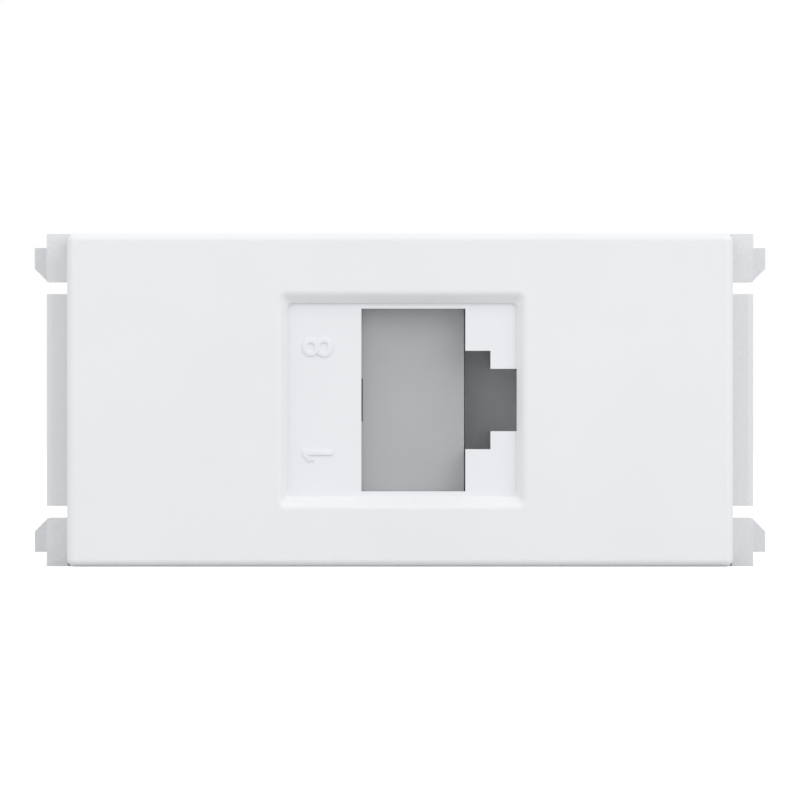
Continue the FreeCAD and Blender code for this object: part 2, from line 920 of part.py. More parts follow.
# ---- Wire caps ----
def wire_cap(side):
    """A press-on cap over one row of towers, notched where the wires come in."""
    x = port_offset + side * row_offset
    inner_x = tower_length / 2 + cap_clearance
    inner_z = tower_span + tower_width / 2 + cap_clearance
    bottom = cap_outer_y - cap_height
    shell = box(
        around(x, inner_x + cap_wall), (bottom, cap_outer_y), around(0, inner_z + cap_wall)
    )
    shell = rounded_edges(shell, cap_edge_radius, runs_along_y)
    rim = [edge for edge in shell.Edges if edge.BoundBox.YMin > cap_outer_y - tolerance]
    shell = shell.makeChamfer(cap_chamfer, rim)
    cutters = [box(around(x, inner_x), (bottom - through, cap_ceiling), around(0, inner_z))]
    scoop_radius = (cap_scoop_length**2 / 4 + cap_scoop_depth**2) / (2 * cap_scoop_depth)
    scoop = Part.makeCylinder(
        scoop_radius,
        2 * (inner_x + cap_wall + through),
        point(x - inner_x - cap_wall - through, cap_outer_y + scoop_radius - cap_scoop_depth, 0),
        point(1, 0, 0),
    )
    cutters.append(scoop)
    rib_half = wire_slot_width / 2 - cap_rib_clearance
    fingers = []
    for z in tower_centres():
        cutters.append(
            box(
                around(x, inner_x + cap_wall + through),
                (bottom - through, bottom + cap_notch_height),
                around(z, cap_notch_width / 2),
            )
        )
        for end in (-1, 1):
            inner = x + end * (blade_thickness / 2 + cap_blade_clearance)
            outer = x + end * (tower_length / 2 - tower_tip_width)
            fingers.append(
                box(sorted((inner, outer)), (blade_top, cap_ceiling + embed), around(z, rib_half))
            )
    return shell.cut(cutters).fuse(fingers).removeSplitter()


# ---- Export ----
def export(name, shape):
    shape.exportStep(os.path.join("parts", name + ".step"))
    print(name, len(shape.Solids), round(shape.Volume, 3), shape.isValid())


def main():
    os.makedirs("parts", exist_ok=True)
    export("faceplate", faceplate())
    export("jack_housing", jack_housing())
    export("shutter_flap", shutter_flap())
    export("shutter_pin", shutter_pin())
    export("shutter_spring", shutter_spring())
    export("contact_carrier", contact_carrier())
    for number, z in enumerate(contact_centres(), start=1):
        export(f"contact_wire_{number}", contact_wire(z))
    export("circuit_board", circuit_board())
    export("idc_block", idc_block())
    number = 0
    for side in (-1, 1):
        for z in tower_centres():
            number += 1
            export(f"idc_contact_{number}", idc_contact(port_offset + side * row_offset, z))
    export("wire_cap_left", wire_cap(-1))
    export("wire_cap_right", wire_cap(1))


main()
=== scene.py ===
import bpy
import math
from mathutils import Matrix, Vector


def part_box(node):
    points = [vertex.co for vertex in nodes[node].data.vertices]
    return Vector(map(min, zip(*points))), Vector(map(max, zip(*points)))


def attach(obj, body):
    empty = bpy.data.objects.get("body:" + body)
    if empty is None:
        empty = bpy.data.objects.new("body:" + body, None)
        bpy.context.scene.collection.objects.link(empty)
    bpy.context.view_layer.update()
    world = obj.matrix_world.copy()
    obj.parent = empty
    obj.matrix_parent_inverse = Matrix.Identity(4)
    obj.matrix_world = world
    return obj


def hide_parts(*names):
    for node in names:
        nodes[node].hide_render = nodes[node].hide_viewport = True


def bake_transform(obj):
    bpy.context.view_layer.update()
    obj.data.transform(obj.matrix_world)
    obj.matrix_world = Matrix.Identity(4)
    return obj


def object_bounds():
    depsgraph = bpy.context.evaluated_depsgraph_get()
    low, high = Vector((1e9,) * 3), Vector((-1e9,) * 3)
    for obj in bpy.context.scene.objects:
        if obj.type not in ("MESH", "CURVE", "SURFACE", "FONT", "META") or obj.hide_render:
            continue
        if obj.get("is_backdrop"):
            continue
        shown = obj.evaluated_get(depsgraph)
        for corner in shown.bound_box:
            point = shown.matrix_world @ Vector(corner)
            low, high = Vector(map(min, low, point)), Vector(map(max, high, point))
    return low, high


# %% [markdown]
# # A snap-in faceplate with a shuttered data socket
# The construction comes in as a fixed frame: each moulding, pin, strip and plate is a mesh at its
# real size and place. This lesson dresses that frame. It could all be remodelled from nothing,
# but the fits are already right, so the work here goes into soft edges, small details and
# finishes.

# %% Load the frame
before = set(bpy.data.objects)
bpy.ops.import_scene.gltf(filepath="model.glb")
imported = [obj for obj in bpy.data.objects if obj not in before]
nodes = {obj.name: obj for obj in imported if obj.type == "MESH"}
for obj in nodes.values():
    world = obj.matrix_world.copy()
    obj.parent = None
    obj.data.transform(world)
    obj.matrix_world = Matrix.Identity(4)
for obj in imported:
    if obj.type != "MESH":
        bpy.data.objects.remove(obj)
cad_low, cad_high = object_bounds()
MM = 0.001
print("nodes in the frame:", len(nodes))
print("size in mm:", [round(v / MM, 2) for v in cad_high - cad_low])

# %% [markdown]
# ## Helpers for working as by hand
# Operators act on whatever is selected, so every step starts from nothing selected and one piece
# made active. A finished piece keeps its place in its mesh, with its origin at zero, so it is
# moved and turned once and that is applied. All this could be written out each time, but a few
# helpers keep the later cells short.

# %% Select a piece, edit it, settle it in its place, make a row of it, count its triangles
# These two turns make a piece's upper side face the front or the back of the object.
TOWARDS_FRONT = (math.radians(90), 0, 0)
TOWARDS_BACK = (math.radians(-90), 0, 0)


def pick(piece):
    bpy.ops.object.select_all(action="DESELECT")
    piece.select_set(True)
    bpy.context.view_layer.objects.active = piece


def edit(piece):
    pick(piece)
    bpy.ops.object.mode_set(mode="EDIT")


def leave_edit():
    bpy.ops.object.mode_set(mode="OBJECT")


def apply_modifiers(piece):
    pick(piece)
    for modifier in list(piece.modifiers):
        bpy.ops.object.modifier_apply(modifier=modifier.name)


def settle(piece, place, turn=(0, 0, 0)):
    pick(piece)
    piece.location = place
    piece.rotation_euler = turn
    bpy.ops.object.transform_apply(location=True, rotation=True, scale=True)


def row_of(first, stem, count):
    row = [first]
    for number in range(2, count + 1):
        twin = first.copy()
        twin.data = first.data.copy()
        twin.name = f"{stem}_{number}"
        bpy.context.scene.collection.objects.link(twin)
        row.append(twin)
    return row


def triangles(piece):
    piece.data.calc_loop_triangles()
    return len(piece.data.loop_triangles)


print("triangles in the cover's frame mesh:", triangles(nodes["faceplate"]))

# %% [markdown]
# ## Soft edges
# An injection mould never leaves a knife edge: each edge of the real mouldings has a radius of
# about a tenth of a millimetre, and that radius is what catches the light. Stamped metal has a
# smaller one from tumbling. It could be faked in the shader, but then the outline would stay
# sharp. So a piece is copied from the frame, its loose triangles are merged and its flat faces
# joined, and a narrow bevel runs along its sharp edges. Weighted normals then keep the large
# faces flat up to the bevel.

# %% Copy a piece of the frame and round its edges
MERGE = 0.0005 * MM  # corners closer than this are one corner
FLAT = math.radians(0.6)  # faces that meet flatter than this are one face
SHARP = math.radians(28)  # edges that turn more than this get a bevel


def soften(piece, radius):
    bevel = piece.modifiers.new("soft_edges", "BEVEL")
    bevel.width = radius
    bevel.segments = 2
    bevel.limit_method = "ANGLE"
    bevel.angle_limit = SHARP
    apply_modifiers(piece)
    bpy.ops.object.shade_smooth_by_angle(angle=SHARP)
    flat = piece.modifiers.new("flat_faces_stay_flat", "WEIGHTED_NORMAL")
    flat.keep_sharp = True
    flat.weight = 100
    apply_modifiers(piece)


def rounded_copy(node, name, radius, body):
    piece = bpy.data.objects.new(name, nodes[node].data.copy())
    bpy.context.scene.collection.objects.link(piece)
    piece.data.materials.clear()
    edit(piece)
    bpy.ops.mesh.select_all(action="SELECT")
    bpy.ops.mesh.remove_doubles(threshold=MERGE)
    bpy.ops.mesh.dissolve_limited(angle_limit=FLAT)
    bpy.ops.mesh.select_all(action="DESELECT")
    leave_edit()
    soften(piece, radius)
    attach(piece, body)
    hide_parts(node)
    print(name, "triangles:", triangles(piece))
    return piece


# %% The white cover and the socket's shell
cover = rounded_copy("faceplate", "cover", 0.07 * MM, "base")
shell = rounded_copy("jack_housing", "socket_shell", 0.06 * MM, "base")

# %% The dust flap and its pin
flap = rounded_copy("shutter_flap", "dust_flap", 0.06 * MM, "shutter")
pin = rounded_copy("shutter_pin", "hinge_pin", 0.05 * MM, "base")

# %% The mouldings behind
comb = rounded_copy("contact_carrier", "contact_comb", 0.03 * MM, "base")
block = rounded_copy("idc_block", "punch_down_block", 0.05 * MM, "base")
caps = [
    rounded_copy("wire_cap_left", "left_cap", 0.06 * MM, "base"),
    rounded_copy("wire_cap_right", "right_cap", 0.06 * MM, "base"),
]
board = rounded_copy("circuit_board", "socket_board", 0.02 * MM, "base")

# %% The stamped contacts and blades
WAYS = range(1, 9)
contacts = [
    rounded_copy(f"contact_wire_{way}", f"spring_contact_{way}", 0.035 * MM, "base")
    for way in WAYS
]
blades = [
    rounded_copy(f"idc_contact_{way}", f"wire_blade_{way}", 0.03 * MM, "base") for way in WAYS
]

# %% [markdown]
# ## The closing spring
# A small torsion spring of round steel wire sits on the hinge pin and shuts the flap. One leg
# presses on the back of the flap and the other stands in a slot of the shell. It could be a
# bevelled curve, but a coil is what the Screw modifier is for: one ring of points, turned and
# lifted. The two legs are then drawn out of the coil's two open ends by extruding them straight
# on.

# %% Sizes of the spring
pin_low, pin_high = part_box("shutter_pin")
hinge = Vector(((pin_low[0] + pin_high[0]) / 2, (pin_low[1] + pin_high[1]) / 2, 0))
WIRE = 0.09 * MM  # half the wire's thickness
COIL = 0.45 * MM  # from the pin's axis to the middle of the wire
PITCH = 0.44 * MM
LEAN_DEGREES = 5  # the shut flap leans inwards by this
COILS = 5
TURNS = COILS - LEAN_DEGREES / 360
FLAP_LEG = 3.2 * MM
FIXED_LEG = 1.7 * MM
lift = PITCH * TURNS
coil_top = COILS * PITCH / 2
print("hinge at mm:", [round(v / MM, 2) for v in hinge], "coil height mm:", round(lift / MM, 2))

# %% The coil
COIL_STEPS = 110  # over the whole coil
bpy.ops.object.select_all(action="DESELECT")
bpy.ops.mesh.primitive_circle_add(vertices=10, radius=WIRE, rotation=TOWARDS_FRONT)
spring = bpy.context.object
spring.name = "closing_spring"
bpy.ops.object.transform_apply(location=False, rotation=True, scale=False)
edit(spring)
bpy.ops.mesh.select_all(action="SELECT")
bpy.ops.transform.translate(value=(COIL, 0, 0))
leave_edit()
coil = spring.modifiers.new("coil", "SCREW")
coil.axis = "Z"
coil.angle = math.tau * TURNS
coil.screw_offset = lift
coil.steps = COIL_STEPS
coil.render_steps = COIL_STEPS
coil.use_smooth_shade = True
coil.use_merge_vertices = False
apply_modifiers(spring)
print("coil triangles:", triangles(spring))

# %% The two legs
END_REACH = 1.05 * WIRE  # from the wire's middle, far enough to find its whole end ring


def draw_leg(piece, centre, along):
    edit(piece)
    bpy.ops.mesh.select_all(action="DESELECT")
    leave_edit()
    for vertex in piece.data.vertices:
        vertex.select = (vertex.co - centre).length < END_REACH
    bpy.ops.object.mode_set(mode="EDIT")
    bpy.ops.mesh.select_mode(type="VERT")
    bpy.ops.mesh.extrude_edges_move(TRANSFORM_OT_translate={"value": along})
    bpy.ops.mesh.edge_face_add()
    leave_edit()


end_turn = math.tau * TURNS
draw_leg(spring, Vector((COIL, 0, 0)), (0, -FLAP_LEG, 0))
draw_leg(
    spring,
    Vector((COIL * math.cos(end_turn), COIL * math.sin(end_turn), lift)),
    (-FIXED_LEG * math.sin(end_turn), FIXED_LEG * math.cos(end_turn), 0),
)
print("spring triangles:", triangles(spring))

# %% Put the spring on its pin
def close_and_turn_out(piece):
    edit(piece)
    bpy.ops.mesh.select_all(action="SELECT")
    bpy.ops.mesh.remove_doubles(threshold=MERGE)
    bpy.ops.mesh.normals_make_consistent(inside=False)
    bpy.ops.mesh.select_all(action="DESELECT")
    leave_edit()


close_and_turn_out(spring)
pick(spring)
bpy.ops.object.shade_smooth_by_angle(angle=math.radians(50))
spring_turn = math.radians(90) + math.radians(LEAN_DEGREES)
settle(spring, hinge + Vector((0, 0, coil_top - lift)), (0, 0, spring_turn))
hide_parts("shutter_spring")
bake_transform(spring)
corners = (spring.bound_box[0], spring.bound_box[6])
print("spring from and to, mm:", [[round(v / MM, 2) for v in corner] for corner in corners])

# %% [markdown]
# ## Solder joints
# The contacts' tails come through plated holes in the board and end in small cones of solder,
# whose sides curve in because the molten metal climbs the tail. A plain cone would look like a
# plug. So a ring is extruded upwards in steps, each step scaled in less than the one before, and
# closed on top.

# %% One joint, drawn up ring by ring
# Each step is a rise in millimetres and how much the new ring shrinks.
SOLDER_STEPS = ((0.05, 0.98), (0.04, 0.86), (0.07, 0.84), (0.1, 0.87), (0.05, 0.8))


def solder_joint(name, foot):
    bpy.ops.object.select_all(action="DESELECT")
    bpy.ops.mesh.primitive_circle_add(vertices=16, radius=foot, fill_type="NGON")
    piece = bpy.context.object
    piece.name = name
    edit(piece)
    bpy.ops.mesh.select_all(action="SELECT")
    for rise, shrink in SOLDER_STEPS:
        bpy.ops.mesh.extrude_region_move(TRANSFORM_OT_translate={"value": (0, 0, rise * MM)})
        bpy.ops.transform.resize(value=(shrink, shrink, 1))
    leave_edit()
    close_and_turn_out(piece)
    pick(piece)
    bpy.ops.object.shade_smooth_by_angle(angle=math.radians(40))
    return piece


contact_joint = solder_joint("contact_solder_1", 0.43 * MM)
blade_joint = solder_joint("blade_solder_1", 0.62 * MM)
print("triangles in one joint:", triangles(contact_joint))

# %% A joint on each tail
STRIP_HALF = 0.15 * MM  # half a contact's thickness, where its tail goes into the board
SINK = 0.03 * MM  # a joint's foot lies this deep in the board
contact_joints = row_of(contact_joint, "contact_solder", len(WAYS))
blade_joints = row_of(blade_joint, "blade_solder", len(WAYS))
board_low, board_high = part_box("circuit_board")
for way in WAYS:
    low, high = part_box(f"contact_wire_{way}")
    place = (low[0] + STRIP_HALF, board_high[1] - SINK, (low[2] + high[2]) / 2)
    settle(contact_joints[way - 1], place, TOWARDS_BACK)
    low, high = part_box(f"idc_contact_{way}")
    place = ((low[0] + high[0]) / 2, board_low[1] + SINK, (low[2] + high[2]) / 2)
    settle(blade_joints[way - 1], place, TOWARDS_FRONT)
for joint in contact_joints + blade_joints:
    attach(joint, "base")
print("solder joints:", len(contact_joints + blade_joints))

# %% [markdown]
# ## Way numbers on the socket's face
# The bare strip beside the opening carries small raised numbers that count the contacts from one
# end to the other. They are cut into the mould, so they stand proud by less than a tenth of a
# millimetre in the same white plastic. A bump map would leave their sides flat, so they are real
# relief: a text object, made a mesh, with its sides drawn in a little by a bevel. The built-in
# font draws a one as a bare stroke, so the stroke is cut near its top and a flag is pulled out of
# its side.

# %% Raise the first and the last number
NUMBER_SIZE = 2.9 * MM
NUMBER_RISE = 0.07 * MM
NUMBER_EDGE = 0.025 * MM
NUMBER_TO_PIN = 1.7 * MM  # from the numbers' middle to the hinge pin, sideways
FLAG_HEIGHT = 0.42 * MM
FLAG_PULL = (-0.42 * MM, -0.36 * MM, 0)
face_low, face_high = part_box("jack_housing")
first_low, first_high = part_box("contact_wire_1")
last_low, last_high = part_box("contact_wire_8")
number_x = pin_low[0] - NUMBER_TO_PIN


def pull_flag(piece):
    cut = max(vertex.co.y for vertex in piece.data.vertices) - FLAG_HEIGHT
    edit(piece)
    bpy.ops.mesh.select_all(action="SELECT")
    bpy.ops.mesh.bisect(plane_co=(0, cut, 0), plane_no=(0, 1, 0))
    bpy.ops.mesh.select_all(action="DESELECT")
    leave_edit()
    for face in piece.data.polygons:
        sideways = face.normal.x < -0.3 and abs(face.normal.y) < 0.5
        face.select = sideways and face.center.y > cut
    bpy.ops.object.mode_set(mode="EDIT")
    bpy.ops.mesh.select_mode(type="FACE")
    bpy.ops.mesh.extrude_region_move(TRANSFORM_OT_translate={"value": FLAG_PULL})
    leave_edit()


def raised_number(name, figure, height):
    bpy.ops.object.select_all(action="DESELECT")
    bpy.ops.object.text_add()
    text = bpy.context.object
    text.data.body = figure
    text.data.size = NUMBER_SIZE
    text.data.align_x = "CENTER"
    text.data.align_y = "CENTER"
    text.data.extrude = NUMBER_RISE
    text.data.bevel_depth = NUMBER_EDGE
    text.data.bevel_resolution = 1
    text.data.resolution_u = 8
    bpy.ops.object.convert(target="MESH")
    piece = bpy.context.object
    piece.name = name
    piece.data.name = name
    close_and_turn_out(piece)
    if figure == "1":
        pull_flag(piece)
    pick(piece)
    bpy.ops.object.shade_smooth_by_angle(angle=SHARP)
    settle(piece, (0, 0, 0), (0, 0, math.radians(90)))
    settle(piece, (number_x, face_low[1], height), TOWARDS_FRONT)
    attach(piece, "base")
    print(name, "triangles:", triangles(piece))
    return piece


numbers = [
    raised_number("number_one", "1", (first_low[2] + first_high[2]) / 2),
    raised_number("number_eight", "8", (last_low[2] + last_high[2]) / 2),
]

# %% [markdown]
# ## Ejector marks
# Pins push the cover out of its mould from behind, and each leaves a shallow ring on the back of
# the plate. They could be painted, but they catch the light from the side, so each is a low disc:
# a cylinder whose top face is inset and pushed in, modelled once and copied to the pins' places.

# %% One mark, then its copies
MARK_RADIUS = 0.9 * MM
MARK_THICKNESS = 0.1 * MM
RING_WIDTH = 0.12 * MM
RING_SLOPE = 0.04 * MM
RING_DEPTH = 0.06 * MM
MARK_EDGE = 0.012 * MM
PLATE = 1.8 * MM  # thickness of the cover's plate
MARK_COLUMNS = (-18.2 * MM, 18.2 * MM)
MARK_ROWS = (-7.4 * MM, 0, 7.4 * MM)


def ejector_mark(name):
    bpy.ops.object.select_all(action="DESELECT")
    bpy.ops.mesh.primitive_cylinder_add(vertices=32, radius=MARK_RADIUS, depth=MARK_THICKNESS)
    piece = bpy.context.object
    piece.name = name
    edit(piece)
    bpy.ops.mesh.select_all(action="DESELECT")
    leave_edit()
    for face in piece.data.polygons:
        face.select = face.normal.z > 0.9
    bpy.ops.object.mode_set(mode="EDIT")
    bpy.ops.mesh.select_mode(type="FACE")
    bpy.ops.mesh.inset(thickness=RING_WIDTH, depth=0)
    bpy.ops.mesh.inset(thickness=RING_SLOPE, depth=-RING_DEPTH)
    leave_edit()
    soften(piece, MARK_EDGE)
    return piece


cover_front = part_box("faceplate")[0][1]
first_mark = ejector_mark("ejector_mark_1")
mark_places = [(x, cover_front + PLATE, z) for x in MARK_COLUMNS for z in MARK_ROWS]
marks = row_of(first_mark, "ejector_mark", len(mark_places))
for mark, place in zip(marks, mark_places):
    settle(mark, place, TOWARDS_BACK)
    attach(mark, "base")
print("ejector marks:", len(marks), "triangles each:", triangles(first_mark))

# %% [markdown]
# ## Colours and nodes
# Colours are easiest to judge as the hex values of a paint chart, but shaders work in linear
# light, so one function turns the one into the other. A second small function adds a node, sets
# it and links it, which keeps each material readable as a short list of its nodes.

# %% Colour and node helpers
def linear(hex_text):
    channels = [int(hex_text[i : i + 2], 16) / 255 for i in (1, 3, 5)]
    return [c / 12.92 if c <= 0.04045 else ((c + 0.055) / 1.055) ** 2.4 for c in channels] + [1.0]


def add_node(tree, kind, links=(), sockets=(), **settings):
    node = tree.nodes.new(kind)
    for key, value in settings.items():
        setattr(node, key, value)
    for key, value in sockets:
        node.inputs[key].default_value = value
    for key, source in links:
        tree.links.new(source, node.inputs[key])
    return node


def new_material(name):
    material = bpy.data.materials.new(name)
    material.use_nodes = True
    tree = material.node_tree
    tree.nodes.clear()
    return material, tree


def dress(pieces, material, slot):
    for piece in pieces:
        piece.data.materials.clear()
        piece.data.materials.append(material)
    print(material.name, "on", len(pieces), "piece(s), as", slot)


print("mid grey in linear light:", [round(c, 3) for c in linear("#808080")])

# %% [markdown]
# ## Moulded plastics
# A moulded surface copies its mould: the eye sees a satin skin, a pigment that drifts very
# slightly over a few millimetres, and a fine grain where the tool was spark-eroded. A single
# grey-white would look like paper. So two noise patterns at real sizes are used: a slow one for
# the pigment and a fine one for the roughness and the bump. The mouldings differ in pigment and
# polish and not in kind, so one function makes them all.

# %% A moulded plastic
# ABS and nylon both have a refractive index of about 1.53.
PIGMENT = 9 * MM  # the pigment drifts over about this distance


def moulded_plastic(name, tone, shade, roughness, grain, depth):
    material, tree = new_material(name)
    place = add_node(tree, "ShaderNodeTexCoord")
    drift = add_node(
        tree,
        "ShaderNodeTexNoise",
        links=[("Vector", place.outputs["Object"])],
        sockets=[("Scale", 1 / PIGMENT), ("Detail", 2.0), ("Roughness", 0.5)],
    )
    erosion = add_node(
        tree,
        "ShaderNodeTexNoise",
        links=[("Vector", place.outputs["Object"])],
        sockets=[("Scale", 1 / grain), ("Detail", 3.0), ("Roughness", 0.55)],
    )
    colour = add_node(tree, "ShaderNodeValToRGB", links=[("Fac", drift.outputs["Fac"])])
    colour.color_ramp.elements[0].position = 0.35
    colour.color_ramp.elements[0].color = linear(shade)
    colour.color_ramp.elements[1].position = 0.65
    colour.color_ramp.elements[1].color = linear(tone)
    gloss = add_node(
        tree,
        "ShaderNodeMapRange",
        links=[("Value", erosion.outputs["Fac"])],
        sockets=[
            ("From Min", 0.3),
            ("From Max", 0.7),
            ("To Min", roughness - 0.05),
            ("To Max", roughness + 0.05),
        ],
    )
    bump = add_node(
        tree,
        "ShaderNodeBump",
        links=[("Height", erosion.outputs["Fac"])],
        sockets=[("Distance", depth)],
    )
    shader = add_node(
        tree,
        "ShaderNodeBsdfPrincipled",
        links=[
            ("Base Color", colour.outputs["Color"]),
            ("Roughness", gloss.outputs["Result"]),
            ("Normal", bump.outputs["Normal"]),
        ],
        sockets=[("IOR", 1.53)],
    )
    add_node(
        tree, "ShaderNodeOutputMaterial", links=[("Surface", shader.outputs["BSDF"])]
    )
    return material


# %% [markdown]
# ### White polycarbonate cover
# The cover's face comes from a polished half of the mould and looks smooth and bright. The skirt,
# the lugs and the ledges come from the other half, which is left matt, so they get a coarser
# grain.
# Their colour is also painted a shade deeper: this is painted shade for the surfaces set back
# behind the face. Two materials could meet at the parting line, but a blend along the depth is
# simpler and has no hard border, as on the real cover, where the polish fades over the rounded
# edge.

# %% Cover material
# Polycarbonate: refractive index 1.58, satin at roughness 0.38. The eroded grain of the matt half
# is about 0.1 mm on the real tool and is drawn at 0.3 mm, because finer grain would not show. On
# the polished face next to nothing of it is left.
MATT_AND_SHADE_START = 0.9 * MM  # the polish fades and the painted shade starts this far behind the face
MATT_AND_SHADE_END = 1.9 * MM
white_cover = moulded_plastic(
    "white_polycarbonate", "#EFF0F2", "#EDEEF0", 0.38, 0.3 * MM, 0.035 * MM
)
tree = white_cover.node_tree
shader = next(node for node in tree.nodes if node.type == "BSDF_PRINCIPLED")
place = next(node for node in tree.nodes if node.type == "TEX_COORD")
face_colour = shader.inputs["Base Color"].links[0].from_socket
depth = add_node(tree, "ShaderNodeSeparateXYZ", links=[("Vector", place.outputs["Object"])])
# This blend along the depth drives both the matt grain and the painted shade.
behind = add_node(
    tree,
    "ShaderNodeMapRange",
    links=[("Value", depth.outputs["Y"])],
    sockets=[("From Min", cover_front + MATT_AND_SHADE_START), ("From Max", cover_front + MATT_AND_SHADE_END)],
)
# Painted shade: behind the face the colour turns to the deeper #E3E5E7, which stands for the shade
# on the ledges, lugs and skirt.
painted_shade_behind_face = add_node(
    tree,
    "ShaderNodeMix",
    data_type="RGBA",
    links=[("Factor", behind.outputs["Result"]), ("A", face_colour)],
    sockets=[("B", linear("#E3E5E7"))],
)
relief = add_node(
    tree,
    "ShaderNodeMapRange",
    links=[("Value", behind.outputs["Result"])],
    sockets=[("To Min", 0.06), ("To Max", 1.0)],
)
bump = next(node for node in tree.nodes if node.type == "BUMP")
tree.links.new(relief.outputs["Result"], bump.inputs["Strength"])
tree.links.new(painted_shade_behind_face.outputs["Result"], shader.inputs["Base Color"])
shader.inputs["IOR"].default_value = 1.58
dress([cover] + marks, white_cover, "cover_white")

# %% [markdown]
# ### The other mouldings
# The socket's shell is a flame-retardant ABS, a slightly cooler white than the cover. The flap is
# grey ABS, matt all over. The comb is glass-filled nylon and nearly black, the punch-down block
# is natural nylon, which is creamy, and the caps are light grey ABS. Each has its own pigment,
# polish and grain, which is all that tells them apart to the eye.

# %% Shell, flap, comb, block and caps
# Moulded grain is 0.05 to 0.15 mm on these parts and is drawn at 0.2 to 0.3 mm so that it shows.
white_shell = moulded_plastic("white_abs", "#EEF0F3", "#ECEEF1", 0.34, 0.3 * MM, 0.003 * MM)
grey_flap = moulded_plastic("grey_abs", "#B1B3B4", "#ACAEB0", 0.5, 0.25 * MM, 0.02 * MM)
dark_comb = moulded_plastic("filled_nylon", "#2A2B2D", "#232426", 0.5, 0.2 * MM, 0.025 * MM)
white_block = moulded_plastic("natural_nylon", "#E4E3DE", "#DCDBD5", 0.42, 0.3 * MM, 0.03 * MM)
grey_cap = moulded_plastic("light_grey_abs", "#CBCDCE", "#C4C6C8", 0.45, 0.3 * MM, 0.035 * MM)
dress([shell] + numbers, white_shell, "jack_white")
dress([flap], grey_flap, "shutter_grey")
dress([comb], dark_comb, "carrier_plastic")
dress([block], white_block, "block_white")
dress(caps, grey_cap, "cap_grey")

# %% [markdown]
# ## Metals
# Drawn and stamped metal keeps the streaks of its die and rolls, which run along the strip and
# make the reflection uneven across it. A clean mirror would look like chrome. So a noise is
# stretched along the strip's length, and drives the tint and the roughness. A metal takes its
# colour from its base colour and keeps the default refractive index.

# %% A rolled or drawn metal
def rolled_metal(name, tone, shade, roughness, streak, length, depth):
    material, tree = new_material(name)
    place = add_node(tree, "ShaderNodeTexCoord")
    stretched = add_node(
        tree,
        "ShaderNodeMapping",
        links=[("Vector", place.outputs["Object"])],
        sockets=[("Scale", (1 / streak, 1 / length, 1 / streak))],
    )
    streaks = add_node(
        tree,
        "ShaderNodeTexNoise",
        links=[("Vector", stretched.outputs["Vector"])],
        sockets=[("Scale", 1.0), ("Detail", 4.0), ("Roughness", 0.6)],
    )
    colour = add_node(tree, "ShaderNodeValToRGB", links=[("Fac", streaks.outputs["Fac"])])
    colour.color_ramp.elements[0].position = 0.3
    colour.color_ramp.elements[0].color = linear(shade)
    colour.color_ramp.elements[1].position = 0.7
    colour.color_ramp.elements[1].color = linear(tone)
    gloss = add_node(
        tree,
        "ShaderNodeMapRange",
        links=[("Value", streaks.outputs["Fac"])],
        sockets=[
            ("From Min", 0.3),
            ("From Max", 0.7),
            ("To Min", roughness - 0.08),
            ("To Max", roughness + 0.08),
        ],
    )
    bump = add_node(
        tree,
        "ShaderNodeBump",
        links=[("Height", streaks.outputs["Fac"])],
        sockets=[("Distance", depth)],
    )
    shader = add_node(
        tree,
        "ShaderNodeBsdfPrincipled",
        links=[
            ("Base Color", colour.outputs["Color"]),
            ("Roughness", gloss.outputs["Result"]),
            ("Normal", bump.outputs["Normal"]),
        ],
        sockets=[("Metallic", 1.0)],
    )
    add_node(
        tree, "ShaderNodeOutputMaterial", links=[("Surface", shader.outputs["BSDF"])]
    )
    return material


# %% Steel, tinned bronze and solder
# Stainless spring wire: light grey, drawn smooth. Streaks are 0.02 mm apart and drawn at 0.06 mm.
steel = rolled_metal(
    "stainless_spring_wire", "#C3C5C8", "#A7A9AD", 0.3, 0.06 * MM, 0.6 * MM, 0.002 * MM
)
# Tin over phosphor bronze: whiter and duller than steel. Roll marks are drawn at 0.08 mm.
tinned = rolled_metal("tinned_bronze", "#D2D3D1", "#B6B7B4", 0.36, 0.08 * MM, 1.5 * MM, 0.002 * MM)
# Solder: bright and nearly smooth, with the slow ripple of its freezing, about 0.3 mm across.
solder = rolled_metal("solder", "#D6D8DA", "#BDBFC2", 0.22, 0.3 * MM, 0.3 * MM, 0.006 * MM)
dress([pin, spring], steel, "spring_steel")
dress(blades, tinned, "blade_tin")
dress(contact_joints + blade_joints, solder, "blade_tin")

# %% [markdown]
# ### Gold-plated contacts
# Only the part of a contact that a plug touches is gold. Gold is costly, so the tail that goes
# into the board is tinned. The two could be two materials on two sets of faces, but the plating
# bath's level leaves a soft line across the strip, so one material changes tint along the depth.

# %% Contact material
# Hard gold over nickel: a pale, slightly red yellow, smooth from the rolled strip below it. Its
# streaks are 0.02 mm apart and drawn at 0.07 mm.
TIN_LINE = 1.3 * MM  # the gold starts to fade this far ahead of the board
TIN_FULL = 0.9 * MM
gold = rolled_metal("gold_plating", "#F0CE86", "#DDB768", 0.24, 0.07 * MM, 1.2 * MM, 0.0015 * MM)
tree = gold.node_tree
shader = next(node for node in tree.nodes if node.type == "BSDF_PRINCIPLED")
place = next(node for node in tree.nodes if node.type == "TEX_COORD")
gold_colour = shader.inputs["Base Color"].links[0].from_socket
depth = add_node(tree, "ShaderNodeSeparateXYZ", links=[("Vector", place.outputs["Object"])])
bath_line = add_node(
    tree,
    "ShaderNodeMapRange",
    links=[("Value", depth.outputs["Y"])],
    sockets=[("From Min", board_low[1] - TIN_LINE), ("From Max", board_low[1] - TIN_FULL)],
)
plating = add_node(
    tree,
    "ShaderNodeMix",
    data_type="RGBA",
    links=[("Factor", bath_line.outputs["Result"]), ("A", gold_colour)],
    sockets=[("B", linear("#CDCECC"))],
)
tree.links.new(plating.outputs["Result"], shader.inputs["Base Color"])
dress(contacts, gold, "contact_gold")

# %% [markdown]
# ## Circuit board
# The board is glass-fibre laminate. Its two faces are lacquered green, and its sawn edges show
# the laminate itself: straw-coloured layers of glass cloth about 0.2 mm thick. Separate faces
# could take separate materials, but the lacquer is only on the faces, so the distance from them
# says which one shows, and the same distance draws the layers.

